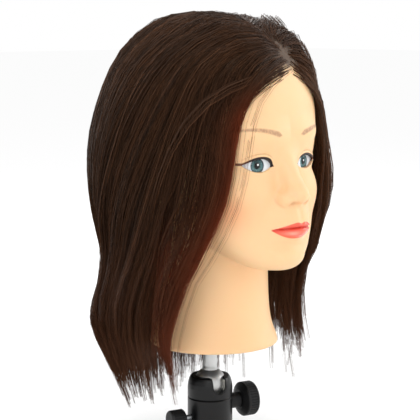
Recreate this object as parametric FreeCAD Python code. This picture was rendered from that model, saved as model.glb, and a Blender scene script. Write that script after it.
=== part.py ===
"""Mannequin training head on a ball-head holder.

Frame: millimetres, origin at the mouth of the tripod thread in the underside of the holder's base,
+Z up, the face looks along -Y and the head's own left is +X.
"""
import FreeCAD, Part
import math
import os

V = FreeCAD.Vector
UP = V(0, 0, 1)

# ---------------------------------------------------------------- driving sizes, holder
BASE_R, BASE_H = 21.5, 8.5
SPINDLE_R, SPINDLE_TOP = 10.0, 35.4
TRIPOD_THREAD_R, TRIPOD_THREAD_DEPTH = 3.99, 12.0
WASHER_T = 0.7
PAN_GAP = 0.05
RING_Z, RING_T, RING_R, RING_GROOVE_R = 33.3, 1.2, 12.6, 9.0
CHAMBER_R, CHAMBER_Z = 13.6, 33.0

HOUSING_R, HOUSING_Z, SEAM_Z = 20.0, BASE_H + WASHER_T, 46.0
THREAD_R, THREAD_WALL, THREAD_BOTTOM_Z = 17.2, 1.6, 42.2
COLLAR_RIM_Z, COLLAR_RIM_R, COLLAR_SHOULDER_Z = 65.5, 17.0, 55.0
SEAT_RING_R, SEAT_RING_Z, SEAT_RING_TOP = 16.4, 54.0, 63.0
NOTCH_W, NOTCH_BOTTOM_Z = 13.2, 51.6
HOUSING_YAW = -14.0          # degrees: how far the holder is panned at rest

BALL_R, BALL_Z = 14.5, 58.0
SEAT_GAP = 0.06
STEM_R, STEM_FOOT_R = 6.3, 6.9
CUP_R, CUP_BOTTOM_Z, CUP_TOP_Z, CUP_BORE_R = 13.3, 40.6, 50.0, 6.0
WEDGE_BOTTOM_Z, WEDGE_HALF_W, WEDGE_HALF_L, WEDGE_SLOPE = 35.8, 6.0, 11.0, 0.25

LOCK_Z, LOCK_SCREW_R = 38.5, 3.5
LOCK_BUSH_R, LOCK_BUSH_IN, LOCK_BUSH_OUT = 7.0, 18.4, 29.0
LOCK_KNOB_R, LOCK_HUB_R, LOCK_KNOB_IN, LOCK_KNOB_OUT = 15.5, 9.0, 29.3, 43.8
LOCK_CAP_R, LOCK_CAP_T = 11.5, 0.7
SCREW_COVER = 3.0           # how far a knob's screw stops short of its outer end
PAN_LOCK_Z, PAN_SCREW_R, PAN_TIP_R, PAN_TIP_OUT = 29.0, 2.5, 2.2, 13.0
PAN_KNOB_R, PAN_HUB_R, PAN_KNOB_IN, PAN_KNOB_OUT = 8.5, 5.5, 26.0, 41.0

# ---------------------------------------------------------------- driving sizes, head
NECK_Z = 98.0
PLATFORM_R, PLATFORM_T, PAD_T, PAD_GAP = 19.0, 4.6, 1.5, 0.3
POST_R, POST_CORE_R, POST_H = 8.0, 5.6, 82.0
STUD_R, STUD_H = 3.1, 12.0
SOCKET_GAP, SOCKET_WALL, SOCKET_H = 0.08, 2.9, 90.0
SKIN_T = 4.0
NECK_CENTRE_Y = -5.0
NECK_PLATE_R, NECK_PLATE_T = 50.0, 5.0
EYE_FRONT = (28.5, -87.0, 262.5)    # the middle of the left eye's domed front
EYE_DOME_R, EYE_DISC_R, EYE_T, EYE_SPLAY = 34.0, 15.6, 10.0, 20.0
EYE_OPENING = (14.2, 5.8)     # half width and half height between the lids
IRIS_R, IRIS_DEPTH, IRIS_T = 6.0, 1.6, 0.5
LIPS_HALF, LIPS_Y, LIPS_Z = (24.0, 7.0, 8.5), -104.0, 208.5
HAIR_SIDE_T = 16.0
HAIR_HOLLOW_Z, HAIR_HOLLOW_TOP_Z = 200, 240
HAIR_TOP_Z, HAIR_FALL_Z, HAIR_BACK_Y = 300.0, 212.0, 45.0

# Horizontal sections of the head: height, half width, front y, back y, squareness.
HEAD_SECTIONS = [
    (174, 20, -98, -52, 2.0),
    (181, 34, -104, -34, 2.1),
    (192, 46, -106, -10, 2.2),
    (210, 57, -107, 34, 2.3),
    (235, 66, -104, 72, 2.4),
    (262, 71, -99, 86, 2.5),
    (290, 75, -99, 91, 2.5),
    (320, 73, -93, 88, 2.4),
    (345, 64, -79, 76, 2.2),
    (362, 49, -58, 58, 2.1),
    (373, 31, -34, 38, 2.0),
    (379, 9, -8, 12, 2.0),
]
# Horizontal sections of the nose, in the same terms.
NOSE_SECTIONS = [
    (227, 11, -111, -88, 2.0),
    (233, 15, -116, -88, 2.0),
    (241, 11, -116.5, -88, 2.0),
    (256, 8, -107, -86, 2.0),
    (273, 6.5, -99, -86, 2.0),
]
# Horizontal sections of the neck: height, radius.
NECK_SECTIONS = [(98, 55.0), (104, 53.6), (116, 49.5), (136, 46.8), (170, 46.6), (212, 48.0)]
# Horizontal sections of the hair's outer surface, in the same terms as the head's.
HAIR_SECTIONS = [
    (52, 74, -62, 84, 2.2),
    (100, 86, -74, 98, 2.2),
    (150, 86, -80, 99, 2.2),
    (200, 92, -88, 106, 2.2),
    (255, 97, -97, 111, 2.2),
    (300, 93, -94, 106, 2.2),
    (332, 85, -86, 95, 2.2),
    (357, 72, -74, 80, 2.1),
    (374, 54, -58, 62, 2.1),
    (384, 32, -36, 38, 2.0),
    (388.5, 10, -10, 14, 2.0),
]
# The open front between the hair's two curtains, seen from the front: x, z.
FACE_WINDOW = [
    (-72, 30), (-70, 100), (-64, 150), (-58, 195), (-52, 255), (-47, 300), (-30, 332),
    (0, 338), (15, 341), (40, 326), (62, 290), (72, 250), (74, 200), (70, 150), (72, 30),
]
WINDOW_BACK_Y = -24.0
HAIR_BOTTOM = {"right": 54.0, "back": 54.0, "left": 82.0}


# ---------------------------------------------------------------- helpers
def turned(shape, degrees=HOUSING_YAW):
    """The shape turned about the pan axis."""
    copy = shape.copy()
    copy.rotate(V(0, 0, 0), UP, degrees)
    return copy


def tube(outer, inner, low, high, at=V(0, 0, 0)):
    ring = Part.makeCylinder(outer, high - low, at + V(0, 0, low), UP)
    return ring.cut(Part.makeCylinder(inner, high - low + 2, at + V(0, 0, low - 1), UP))


def rod(radius, low, high, at=V(0, 0, 0)):
    return Part.makeCylinder(radius, high - low, at + V(0, 0, low), UP)


def side_rod(radius, inner, outer, z, side=1):
    """A cylinder along the knobs' axis: side 1 is towards the big knob, -1 the small one."""
    return Part.makeCylinder(radius, outer - inner, V(side * inner, 0, z), V(side, 0, 0))


def revolved(outline):
    """A solid of revolution about Z from (radius, z) corners."""
    wire = Part.makePolygon([V(r, 0, z) for r, z in outline + outline[:1]])
    return Part.Face(wire).revolve(V(0, 0, 0), UP, 360)


def oval(z, half_width, front, back, squareness, inset=0.0, points=24):
    """A closed smooth horizontal outline, flatter-sided than an ellipse."""
    centre = (front + back) / 2
    half_depth = (back - front) / 2 - inset
    half_width = half_width - inset
    power = 2.0 / squareness
    ring = []
    for i in range(points):
        a = 2 * math.pi * i / points
        c, s = math.cos(a), math.sin(a)
        x = math.copysign(abs(c) ** power, c) * half_width
        y = math.copysign(abs(s) ** power, s) * half_depth
        ring.append(V(x, centre + y, z))
    curve = Part.BSplineCurve()
    curve.interpolate(Points=ring, PeriodicFlag=True)
    return Part.Wire(curve.toShape())


def lofted(sections):
    return Part.makeLoft(sections, True, False)


def knob(radius, hub, inner, outer, z, side, flutes, flute_r):
    """A knob on the knobs' axis: a hub that widens to a fluted rim, with a rounded outer end."""
    rim = inner + (radius - hub) * 0.45
    outline = [
        (0, inner), (hub, inner), (radius - 0.7, rim), (radius, rim + 0.9),
        (radius, outer - 1.6), (radius - 0.6, outer - 0.5), (radius - 1.8, outer), (0, outer),
    ]
    body = revolved(outline)
    cuts = []
    for i in range(flutes):
        a = 2 * math.pi * i / flutes
        at = V(math.cos(a) * radius, math.sin(a) * radius, rim + 2.0)
        cuts.append(Part.makeCylinder(flute_r, outer - rim - 4.2, at, UP))
    body = body.cut(Part.makeCompound(cuts))
    body.rotate(V(0, 0, 0), V(0, 1, 0), 90 * side)
    body.translate(V(0, 0, z))
    return body


# ---------------------------------------------------------------- holder: base and pan
def pan_base():
    body = revolved([
        (0, 0), (BASE_R - 1, 0), (BASE_R, 1), (BASE_R, BASE_H - 1), (BASE_R - 1, BASE_H),
        (SPINDLE_R, BASE_H), (SPINDLE_R, RING_Z), (RING_GROOVE_R, RING_Z),
        (RING_GROOVE_R, RING_Z + RING_T), (SPINDLE_R, RING_Z + RING_T),
        (SPINDLE_R, SPINDLE_TOP), (0, SPINDLE_TOP),
    ])
    return body.cut(rod(TRIPOD_THREAD_R, -1, TRIPOD_THREAD_DEPTH))


def pan_washer():
    return tube(BASE_R - 2, SPINDLE_R, BASE_H, BASE_H + WASHER_T - PAN_GAP)


def pan_retaining_ring():
    return tube(RING_R, RING_GROOVE_R, RING_Z, RING_Z + RING_T)


# ---------------------------------------------------------------- holder: housing
def notch(width, margin=0.0):
    """The drop notch's cutter, on the holder's front, open towards -Y and up."""
    r = width / 2
    low = NOTCH_BOTTOM_Z + r - margin
    slot = Part.makeBox(width, 30, 40, V(-r, -30, low))
    return slot.fuse(Part.makeCylinder(r, 30, V(0, -30, low), V(0, 1, 0)))


def holder_housing():
    body = revolved([
        (0, HOUSING_Z), (HOUSING_R - 1, HOUSING_Z), (HOUSING_R, HOUSING_Z + 1),
        (HOUSING_R, SEAM_Z - 0.8), (HOUSING_R - 0.8, SEAM_Z), (0, SEAM_Z),
    ])
    body = body.cut(rod(SPINDLE_R + PAN_GAP, HOUSING_Z - 1, CHAMBER_Z + 1))
    body = body.cut(rod(CHAMBER_R, CHAMBER_Z, SEAM_Z + 1))
    body = body.cut(rod(THREAD_R, THREAD_BOTTOM_Z, SEAM_Z + 1))
    body = body.cut(side_rod(LOCK_SCREW_R + PAN_GAP, 5, 30, LOCK_Z))
    body = body.cut(side_rod(LOCK_BUSH_R, LOCK_BUSH_IN, 40, LOCK_Z))
    body = body.cut(side_rod(PAN_SCREW_R + PAN_GAP, 5, 30, PAN_LOCK_Z, -1))
    return turned(body)


def retaining_collar():
    body = revolved([
        (THREAD_R - THREAD_WALL, THREAD_BOTTOM_Z + 0.3), (THREAD_R, THREAD_BOTTOM_Z + 0.3),
        (THREAD_R, SEAM_Z), (HOUSING_R - 0.8, SEAM_Z), (HOUSING_R, SEAM_Z + 0.8),
        (HOUSING_R, COLLAR_SHOULDER_Z), (HOUSING_R - 0.4, COLLAR_SHOULDER_Z + 4.0),
        (HOUSING_R - 1.4, COLLAR_SHOULDER_Z + 7.5), (COLLAR_RIM_R + 0.6, COLLAR_RIM_Z - 0.9),
        (COLLAR_RIM_R - 0.3, COLLAR_RIM_Z), (5, COLLAR_RIM_Z), (5, SEAT_RING_TOP),
        (SEAT_RING_R, SEAT_RING_TOP), (SEAT_RING_R, SEAT_RING_Z),
        (THREAD_R - THREAD_WALL, SEAT_RING_Z),
    ])
    body = body.cut(Part.makeSphere(BALL_R + 0.3, V(0, 0, BALL_Z)))
    return turned(body.cut(notch(NOTCH_W)))


def upper_seat_ring():
    body = tube(SEAT_RING_R, BALL_R - 3, SEAT_RING_Z, SEAT_RING_TOP)
    body = body.cut(Part.makeSphere(BALL_R + SEAT_GAP, V(0, 0, BALL_Z)))
    body = body.cut(rod(BALL_R + SEAT_GAP, SEAT_RING_Z - 1, BALL_Z))
    return turned(body.cut(notch(NOTCH_W + 0.8, 0.4)))


def lock_bushing():
    body = side_rod(LOCK_BUSH_R, LOCK_BUSH_IN, LOCK_BUSH_OUT, LOCK_Z)
    body = body.cut(side_rod(LOCK_SCREW_R + PAN_GAP, 10, 40, LOCK_Z))
    return turned(body)


# ---------------------------------------------------------------- holder: ball lock
def wedge_top(offset):
    """A block whose underside is the wedge's sloping top plane, raised by offset."""
    x = 20.0
    corners = []
    for side in (-x, x):
        corners.append(V(side, -20, CUP_BOTTOM_Z + WEDGE_SLOPE * side + offset))
    corners.append(V(x, -20, 80))
    corners.append(V(-x, -20, 80))
    face = Part.Face(Part.makePolygon(corners + corners[:1]))
    return face.extrude(V(0, 40, 0))


def lock_wedge():
    size = V(-WEDGE_HALF_L, -WEDGE_HALF_W, WEDGE_BOTTOM_Z)
    body = Part.makeBox(2 * WEDGE_HALF_L, 2 * WEDGE_HALF_W, 12, size)
    return turned(body.cut(wedge_top(0)))


def lower_ball_cup():
    body = tube(CUP_R, CUP_BORE_R, CUP_BOTTOM_Z - 3, CUP_TOP_Z)
    body = body.cut(Part.makeSphere(BALL_R + SEAT_GAP, V(0, 0, BALL_Z)))
    return turned(body.common(wedge_top(SEAT_GAP)))


def ball_lock_screw():
    return turned(side_rod(LOCK_SCREW_R, WEDGE_HALF_L + 0.1, LOCK_KNOB_OUT - SCREW_COVER, LOCK_Z))


def ball_lock_knob():
    body = knob(LOCK_KNOB_R, LOCK_HUB_R, LOCK_KNOB_IN, LOCK_KNOB_OUT, LOCK_Z, 1, 40, 0.6)
    body = body.cut(side_rod(LOCK_SCREW_R, 20, LOCK_KNOB_OUT - SCREW_COVER, LOCK_Z))
    return turned(body.cut(side_rod(LOCK_CAP_R, LOCK_KNOB_OUT - 1, 60, LOCK_Z)))


def ball_lock_cap():
    low = LOCK_KNOB_OUT - 1
    return turned(side_rod(LOCK_CAP_R, low, low + LOCK_CAP_T, LOCK_Z))


# ---------------------------------------------------------------- holder: pan lock
def pan_lock_tip():
    return turned(side_rod(PAN_TIP_R, SPINDLE_R + 0.15, PAN_TIP_OUT, PAN_LOCK_Z, -1))


def pan_lock_screw():
    return turned(side_rod(PAN_SCREW_R, PAN_TIP_OUT + 0.1, PAN_KNOB_OUT - SCREW_COVER, PAN_LOCK_Z, -1))


def pan_lock_knob():
    body = knob(PAN_KNOB_R, PAN_HUB_R, PAN_KNOB_IN, PAN_KNOB_OUT, PAN_LOCK_Z, -1, 26, 0.5)
    hole = side_rod(PAN_SCREW_R, 20, PAN_KNOB_OUT - SCREW_COVER, PAN_LOCK_Z, -1)
    return turned(body.cut(hole))


# ---------------------------------------------------------------- ball, stem and post
PLATFORM_TOP = NECK_Z - PAD_GAP - PAD_T
PLATFORM_BOTTOM = PLATFORM_TOP - PLATFORM_T
POST_BOTTOM = PLATFORM_TOP
SOCKET_R = POST_R + SOCKET_GAP


def ball():
    return Part.makeSphere(BALL_R, V(0, 0, BALL_Z))


def stem():
    foot_z = BALL_Z + BALL_R - 3.0
    body = revolved([
        (0, foot_z), (STEM_FOOT_R, foot_z), (STEM_FOOT_R, foot_z + 2.2), (STEM_R, foot_z + 4.6),
        (STEM_R, PLATFORM_BOTTOM), (0, PLATFORM_BOTTOM),
    ])
    return body.cut(Part.makeSphere(BALL_R + SEAT_GAP, V(0, 0, BALL_Z)))


def platform():
    body = revolved([
        (0, PLATFORM_BOTTOM), (PLATFORM_R - 1.4, PLATFORM_BOTTOM), (PLATFORM_R, PLATFORM_BOTTOM + 1.4),
        (PLATFORM_R, PLATFORM_TOP), (0, PLATFORM_TOP),
    ])
    return body.cut(rod(STUD_R, PLATFORM_TOP - 3, PLATFORM_TOP + 1))


def platform_pad():
    return tube(PLATFORM_R - 0.8, POST_R, PLATFORM_TOP, PLATFORM_TOP + PAD_T)


def mounting_stud():
    return rod(STUD_R, PLATFORM_TOP - 3, POST_BOTTOM + STUD_H)


def post_core():
    body = revolved([
        (0, POST_BOTTOM), (POST_R, POST_BOTTOM), (POST_R, POST_BOTTOM + 3),
        (POST_CORE_R, POST_BOTTOM + 3), (POST_CORE_R, POST_BOTTOM + POST_H - 2),
        (POST_CORE_R - 2, POST_BOTTOM + POST_H), (0, POST_BOTTOM + POST_H),
    ])
    return body.cut(rod(STUD_R, POST_BOTTOM - 1, POST_BOTTOM + STUD_H))


def post_sleeve():
    return tube(POST_R, POST_CORE_R, POST_BOTTOM + 3, POST_BOTTOM + POST_H - 6)


# ---------------------------------------------------------------- head
def neck(inset=0.0):
    rings = [(z, r - inset) for z, r in NECK_SECTIONS]
    if inset:
        rings = [(NECK_Z + NECK_PLATE_T, rings[1][1])] + rings[2:]
    return lofted([
        oval(z, r, NECK_CENTRE_Y - r, NECK_CENTRE_Y + r, 2.0) for z, r in rings
    ])


def features():
    """The nose and lips, which stand proud of the face."""
    bridge = lofted([oval(*s) for s in NOSE_SECTIONS])
    mouth = Part.makeSphere(1.0)
    stretch = FreeCAD.Matrix()
    stretch.scale(*LIPS_HALF)
    stretch.move(V(0, LIPS_Y, LIPS_Z))
    return bridge.fuse(mouth.transformGeometry(stretch))


def scaled_about(shape, centre, factors):
    matrix = FreeCAD.Matrix()
    matrix.move(centre * -1)
    matrix.scale(*factors)
    matrix.move(centre)
    return shape.transformGeometry(matrix)


def head_inner():
    """The space inside the skin: the skull drawn in by the skin's thickness, and the neck."""
    low, high = HEAD_SECTIONS[0][0], HEAD_SECTIONS[-1][0]
    width = max(s[1] for s in HEAD_SECTIONS)
    front = min(s[2] for s in HEAD_SECTIONS)
    back = max(s[3] for s in HEAD_SECTIONS)
    centre = V(0, (front + back) / 2, (low + high) / 2)
    half = (width, (back - front) / 2, (high - low) / 2)
    skull = lofted([oval(*s) for s in HEAD_SECTIONS])
    return scaled_about(skull, centre, [(h - SKIN_T) / h for h in half]).fuse(neck(SKIN_T))


def head_outer():
    return lofted([oval(*s) for s in HEAD_SECTIONS]).fuse(neck()).fuse(features())


def eye_axis(side):
    """The direction in which an eye faces."""
    a = math.radians(EYE_SPLAY)
    return V(side * math.sin(a), -math.cos(a), 0)


def eye_front(side):
    x, y, z = EYE_FRONT
    return V(side * x, y, z)


def eye_rod(side, radius, back, front):
    """A cylinder along an eye's axis, between two depths behind the middle of its front."""
    axis = eye_axis(side)
    return Part.makeCylinder(radius, back - front, eye_front(side) - axis * back, axis)


def eye_shell(side):
    """The whole inset eye: a disc with a shallow domed front."""
    dome = Part.makeSphere(EYE_DOME_R, eye_front(side) - eye_axis(side) * EYE_DOME_R)
    return eye_rod(side, EYE_DISC_R, EYE_T, -2).common(dome)


def eye_opening(side):
    """The almond between the lids, cut straight through the skin."""
    centre = eye_front(side) + V(0, -40, 0)
    ellipse = Part.Ellipse(V(0, 0, 0), EYE_OPENING[0], EYE_OPENING[1])
    face = Part.Face(Part.Wire(ellipse.toShape()))
    face.rotate(V(0, 0, 0), V(1, 0, 0), 90)
    face.translate(centre)
    return face.extrude(V(0, 46, 0))


def eye_white(side):
    return eye_shell(side).cut(eye_rod(side, IRIS_R, IRIS_DEPTH + IRIS_T, -2))


def eye_iris(side):
    return eye_rod(side, IRIS_R, IRIS_DEPTH + IRIS_T, IRIS_DEPTH)


def eye_cornea(side):
    return eye_shell(side).common(eye_rod(side, IRIS_R, IRIS_DEPTH, -2))


def head_skin():
    body = head_outer().cut(head_inner())
    body = body.cut(rod(NECK_PLATE_R, NECK_Z - 1, NECK_Z + NECK_PLATE_T, V(0, NECK_CENTRE_Y, 0)))
    for side in (-1, 1):
        body = body.cut(eye_opening(side)).cut(eye_shell(side))
    return body


def foam_core():
    body = head_inner().cut(rod(SOCKET_R + SOCKET_WALL, NECK_Z, NECK_Z + SOCKET_H))
    for side in (-1, 1):
        body = body.cut(eye_shell(side))
    return body


def neck_plate():
    body = rod(NECK_PLATE_R, NECK_Z, NECK_Z + NECK_PLATE_T, V(0, NECK_CENTRE_Y, 0))
    return body.cut(rod(SOCKET_R + SOCKET_WALL, NECK_Z - 1, NECK_Z + 20))


def socket_tube():
    body = rod(SOCKET_R + SOCKET_WALL, NECK_Z, NECK_Z + SOCKET_H)
    return body.cut(rod(SOCKET_R, NECK_Z - 1, NECK_Z + SOCKET_H - 2))


# ---------------------------------------------------------------- hair
def hair_hollow():
    """The air between the hanging hair and the neck and jaw."""
    low = [s for s in HAIR_SECTIONS if s[0] <= HAIR_HOLLOW_Z]
    rings = [oval(low[0][0] - 12, *low[0][1:], inset=HAIR_SIDE_T)]
    rings += [oval(*s, inset=HAIR_SIDE_T) for s in low]
    top = HAIR_SECTIONS[len(low)]
    rings.append(oval(HAIR_HOLLOW_TOP_Z, *top[1:], inset=2.2 * HAIR_SIDE_T))
    return lofted(rings)


def face_window():
    corners = [V(x, -200, z) for x, z in FACE_WINDOW]
    face = Part.Face(Part.makePolygon(corners + corners[:1]))
    return face.extrude(V(0, 200 + WINDOW_BACK_Y, 0))


def hair_all():
    body = lofted([oval(*s) for s in HAIR_SECTIONS])
    return body.cut(hair_hollow()).cut(face_window()).cut(head_outer())


def block(low, high):
    """A box from its low corner to its high one."""
    return Part.makeBox(*(h - l for l, h in zip(low, high)), V(*low))


def hair_blocks():
    """The part of space that each section of hair takes: on the scalp, and hanging below it."""
    far = 200
    blocks = {"hair_top": block((-far, -far, HAIR_TOP_Z), (far, far, 2 * far))}
    sides = {"right": ((-far, -far), (0, HAIR_BACK_Y)), "left": ((0, -far), (far, HAIR_BACK_Y))}
    for name, (low, high) in sides.items():
        blocks["hair_" + name] = block((*low, HAIR_FALL_Z), (*high, HAIR_TOP_Z))
        blocks[f"hair_{name}_lengths"] = block((*low, HAIR_BOTTOM[name]), (*high, HAIR_FALL_Z))
    blocks["hair_back"] = block((-far, HAIR_BACK_Y, HAIR_FALL_Z), (far, far, HAIR_TOP_Z))
    for name, start, end in (("right", -far, 0), ("left", 0, far)):
        blocks[f"hair_back_{name}_lengths"] = block(
            (start, HAIR_BACK_Y, HAIR_BOTTOM["back"]), (end, far, HAIR_FALL_Z)
        )
    return blocks


# ---------------------------------------------------------------- all the pieces
PIECES = [
    pan_base, pan_washer, pan_retaining_ring, holder_housing, retaining_collar, upper_seat_ring,
    lock_bushing, lock_wedge, lower_ball_cup, ball_lock_screw, ball_lock_knob, ball_lock_cap,
    pan_lock_tip, pan_lock_screw, pan_lock_knob, ball, stem, platform, platform_pad, mounting_stud,
    post_core, post_sleeve, head_skin, foam_core, neck_plate, socket_tube,
]


def main():
    os.makedirs("parts", exist_ok=True)
    shapes = {make.__name__: make() for make in PIECES}
    for side, hand in ((-1, "right"), (1, "left")):
        for make in (eye_white, eye_iris, eye_cornea):
            shapes[make.__name__ + "_" + hand] = make(side)
    hair = hair_all()
    for name, space in hair_blocks().items():
        shapes[name] = hair.common(space)
    for name, shape in shapes.items():
        solids = shape.Solids
        whole = solids[0] if len(solids) == 1 else Part.makeCompound(solids)
        print(f"{name}: {len(solids)} solid, {whole.Volume / 1000:.1f} cm3, {whole.isValid()}")
        whole.exportStep(f"parts/{name}.step")


main()
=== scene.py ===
"""Looks of the mannequin training head: painted vinyl skin, inset eyes, implanted hair, holder."""
import math
import bpy
import numpy as np
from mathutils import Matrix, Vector


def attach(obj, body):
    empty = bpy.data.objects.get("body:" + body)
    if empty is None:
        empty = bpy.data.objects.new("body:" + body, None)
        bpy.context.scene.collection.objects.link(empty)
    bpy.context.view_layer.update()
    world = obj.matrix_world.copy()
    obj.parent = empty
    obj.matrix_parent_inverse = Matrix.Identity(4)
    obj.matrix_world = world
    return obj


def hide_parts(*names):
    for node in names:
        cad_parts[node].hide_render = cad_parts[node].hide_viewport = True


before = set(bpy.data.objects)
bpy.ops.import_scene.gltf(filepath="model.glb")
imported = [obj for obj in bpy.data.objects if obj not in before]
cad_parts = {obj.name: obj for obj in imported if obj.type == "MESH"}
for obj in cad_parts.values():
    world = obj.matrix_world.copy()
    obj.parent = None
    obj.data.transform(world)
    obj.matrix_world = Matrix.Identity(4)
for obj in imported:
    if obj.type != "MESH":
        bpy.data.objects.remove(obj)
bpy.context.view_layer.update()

MM = 0.001
HEAD = "head"
SEED = 7


# ---------------------------------------------------------------- numbers on arrays
def spline(at, knots, values):
    """A natural cubic spline through (knots, values), held level beyond its ends."""
    x, y = np.asarray(knots, float), np.asarray(values, float)
    n = len(x)
    h = np.diff(x)
    system, right = np.eye(n), np.zeros(n)
    for i in range(1, n - 1):
        system[i, i - 1:i + 2] = h[i - 1], 2 * (h[i - 1] + h[i]), h[i]
        right[i] = 6 * ((y[i + 1] - y[i]) / h[i] - (y[i] - y[i - 1]) / h[i - 1])
    bend = np.linalg.solve(system, right)
    at = np.clip(at, x[0], x[-1])
    k = np.clip(np.searchsorted(x, at) - 1, 0, n - 2)
    a, b = (x[k + 1] - at) / h[k], (at - x[k]) / h[k]
    cubic = ((a ** 3 - a) * bend[k] + (b ** 3 - b) * bend[k + 1]) * h[k] ** 2 / 6
    return a * y[k] + b * y[k + 1] + cubic


def curve(table, at, column=1):
    """A smooth curve through one column of a table, over its first column."""
    return spline(at, table[:, 0], table[:, column])


def smooth_min(a, b, k):
    h = np.clip(0.5 + 0.5 * (b - a) / k, 0.0, 1.0)
    return b + (a - b) * h - k * h * (1.0 - h)


def smooth_max(a, b, k):
    return -smooth_min(-a, -b, k)


def smooth_step(x, low, high):
    t = np.clip((x - low) / (high - low), 0.0, 1.0)
    return t * t * (3 - 2 * t)


def egg(p, centre, radii):
    """The signed distance to an ellipsoid, near its surface."""
    q = (p - np.array(centre)) / np.array(radii)
    length = np.sqrt((q * q).sum(1))
    slope = np.sqrt(((q / np.array(radii)) ** 2).sum(1))
    return length * (length - 1.0) / np.maximum(slope, 1e-6)


def cone(p, start, end, r_start, r_end):
    """The signed distance to a round-ended cone between two points."""
    start, end = np.array(start, float), np.array(end, float)
    along = end - start
    t = np.clip((p - start) @ along / (along @ along), 0, 1)
    return np.linalg.norm(p - start - t[:, None] * along, axis=1) - (r_start + t * (r_end - r_start))


def unit(v):
    return v / np.maximum(np.linalg.norm(v, axis=-1, keepdims=True), 1e-9)


def gradient(field, p, step=0.4):
    g = np.empty_like(p)
    for k in range(3):
        d = np.zeros(3)
        d[k] = step
        g[:, k] = (field(p + d) - field(p - d)) / (2 * step)
    return g


# ---------------------------------------------------------------- the head's shape, millimetres
SKULL_CENTRE, SKULL_RADII, SKULL_SQUARE = (0.0, -2.0, 292.0), (75.5, 93.0, 87.0), 2.35
# The face and jaw: height, half width, front y, back y.
FACE_SECTIONS = np.array([
    (168, 10, -84, -62), (176, 25, -95, -48), (184, 36, -98.5, -34), (196, 47.5, -98, -14),
    (210, 56, -98, 8), (225, 60.5, -97.5, 30), (240, 62.5, -95.5, 50), (256, 64.5, -87.5, 60),
    (272, 65, -84.5, 62), (290, 62, -83, 60), (306, 56, -74, 50),
], float)
# The neck: height, radius.
NECK_RINGS = np.array([
    (98, 56.6), (103, 55.6), (110, 53), (121, 50), (138, 48.2), (165, 47.4), (200, 47),
], float)
NECK_CENTRE_Y, NECK_Z = -5.0, 98.0
SKIN_T, TUBE_ROOM, TUBE_TOP = 4.0, 11.6, 214.0

EYE_IN, EYE_OUT, EYE_Z_IN, EYE_Z_OUT = 15.0, 42.2, 260.4, 262.2
LIP_HALF, LIP_CORNER_Z, LIP_MID_Z, LIP_LOW_Z, LIP_TOP_Z = 21.6, 208.4, 210.6, 200.8, 215.4


def eye_lines(ax):
    """Along an eye: the fraction from inner to outer corner, and the upper and lower lids' heights."""
    s = (ax - EYE_IN) / (EYE_OUT - EYE_IN)
    c = np.clip(s, 0.0, 1.0)
    level = EYE_Z_IN + (EYE_Z_OUT - EYE_Z_IN) * s
    upper = level + 5.6 * c ** 0.55 * (1 - c) / 0.365
    lower = level - 5.2 * c ** 0.75 * (1 - c) ** 0.85 / 0.33
    return s, upper, lower


def lip_lines(ax):
    """Across the mouth: the heights of the upper edge, the parting line and the lower edge."""
    c = np.clip(ax / LIP_HALF, 0, 1)
    line = LIP_MID_Z - (LIP_MID_Z - LIP_CORNER_Z) * c ** 2
    rise = (LIP_TOP_Z - LIP_CORNER_Z) * (1 - c ** 1.7)
    upper = LIP_CORNER_Z + rise - 1.5 * np.exp(-(ax / 2.6) ** 2)
    lower = LIP_CORNER_Z - (LIP_CORNER_Z - LIP_LOW_Z) * (1 - c ** 2.3)
    return upper, line, lower


def lip_relief(ax, z):
    """How far the lips stand proud of the mouth."""
    upper, line, lower = lip_lines(ax)
    c = np.clip(ax / LIP_HALF, 0, 1)
    full = (1 - c ** 2) ** 0.6
    above = np.clip((z - line) / np.maximum(upper - line, 0.6), 0, 1)
    below = np.clip((line - z) / np.maximum(line - lower, 0.6), 0, 1)
    crease = -0.9 * np.exp(-((z - line) / 0.8) ** 2) * (c < 1)
    return (1.7 * np.sin(math.pi * above ** 0.8) + 2.2 * np.sin(math.pi * below ** 0.85)) * full + crease


def skull_and_jaw(p):
    """The head's main masses, with no features."""
    z = p[:, 2]
    q = np.abs((p - SKULL_CENTRE) / SKULL_RADII)
    skull = ((q ** SKULL_SQUARE).sum(1) ** (1 / SKULL_SQUARE) - 1) * SKULL_RADII[0]
    a, front, back = (curve(FACE_SECTIONS, z, k) for k in (1, 2, 3))
    middle, half = (front + back) / 2, (back - front) / 2
    r = ((np.abs(p[:, 0]) / a) ** 2.15 + (np.abs(p[:, 1] - middle) / half) ** 2.15) ** (1 / 2.15)
    jaw = (r - 1) * np.minimum(a, half)
    jaw = smooth_max(smooth_max(jaw, 171.5 - z, 9), z - 303, 16)
    return smooth_min(skull, jaw, 9)


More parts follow.
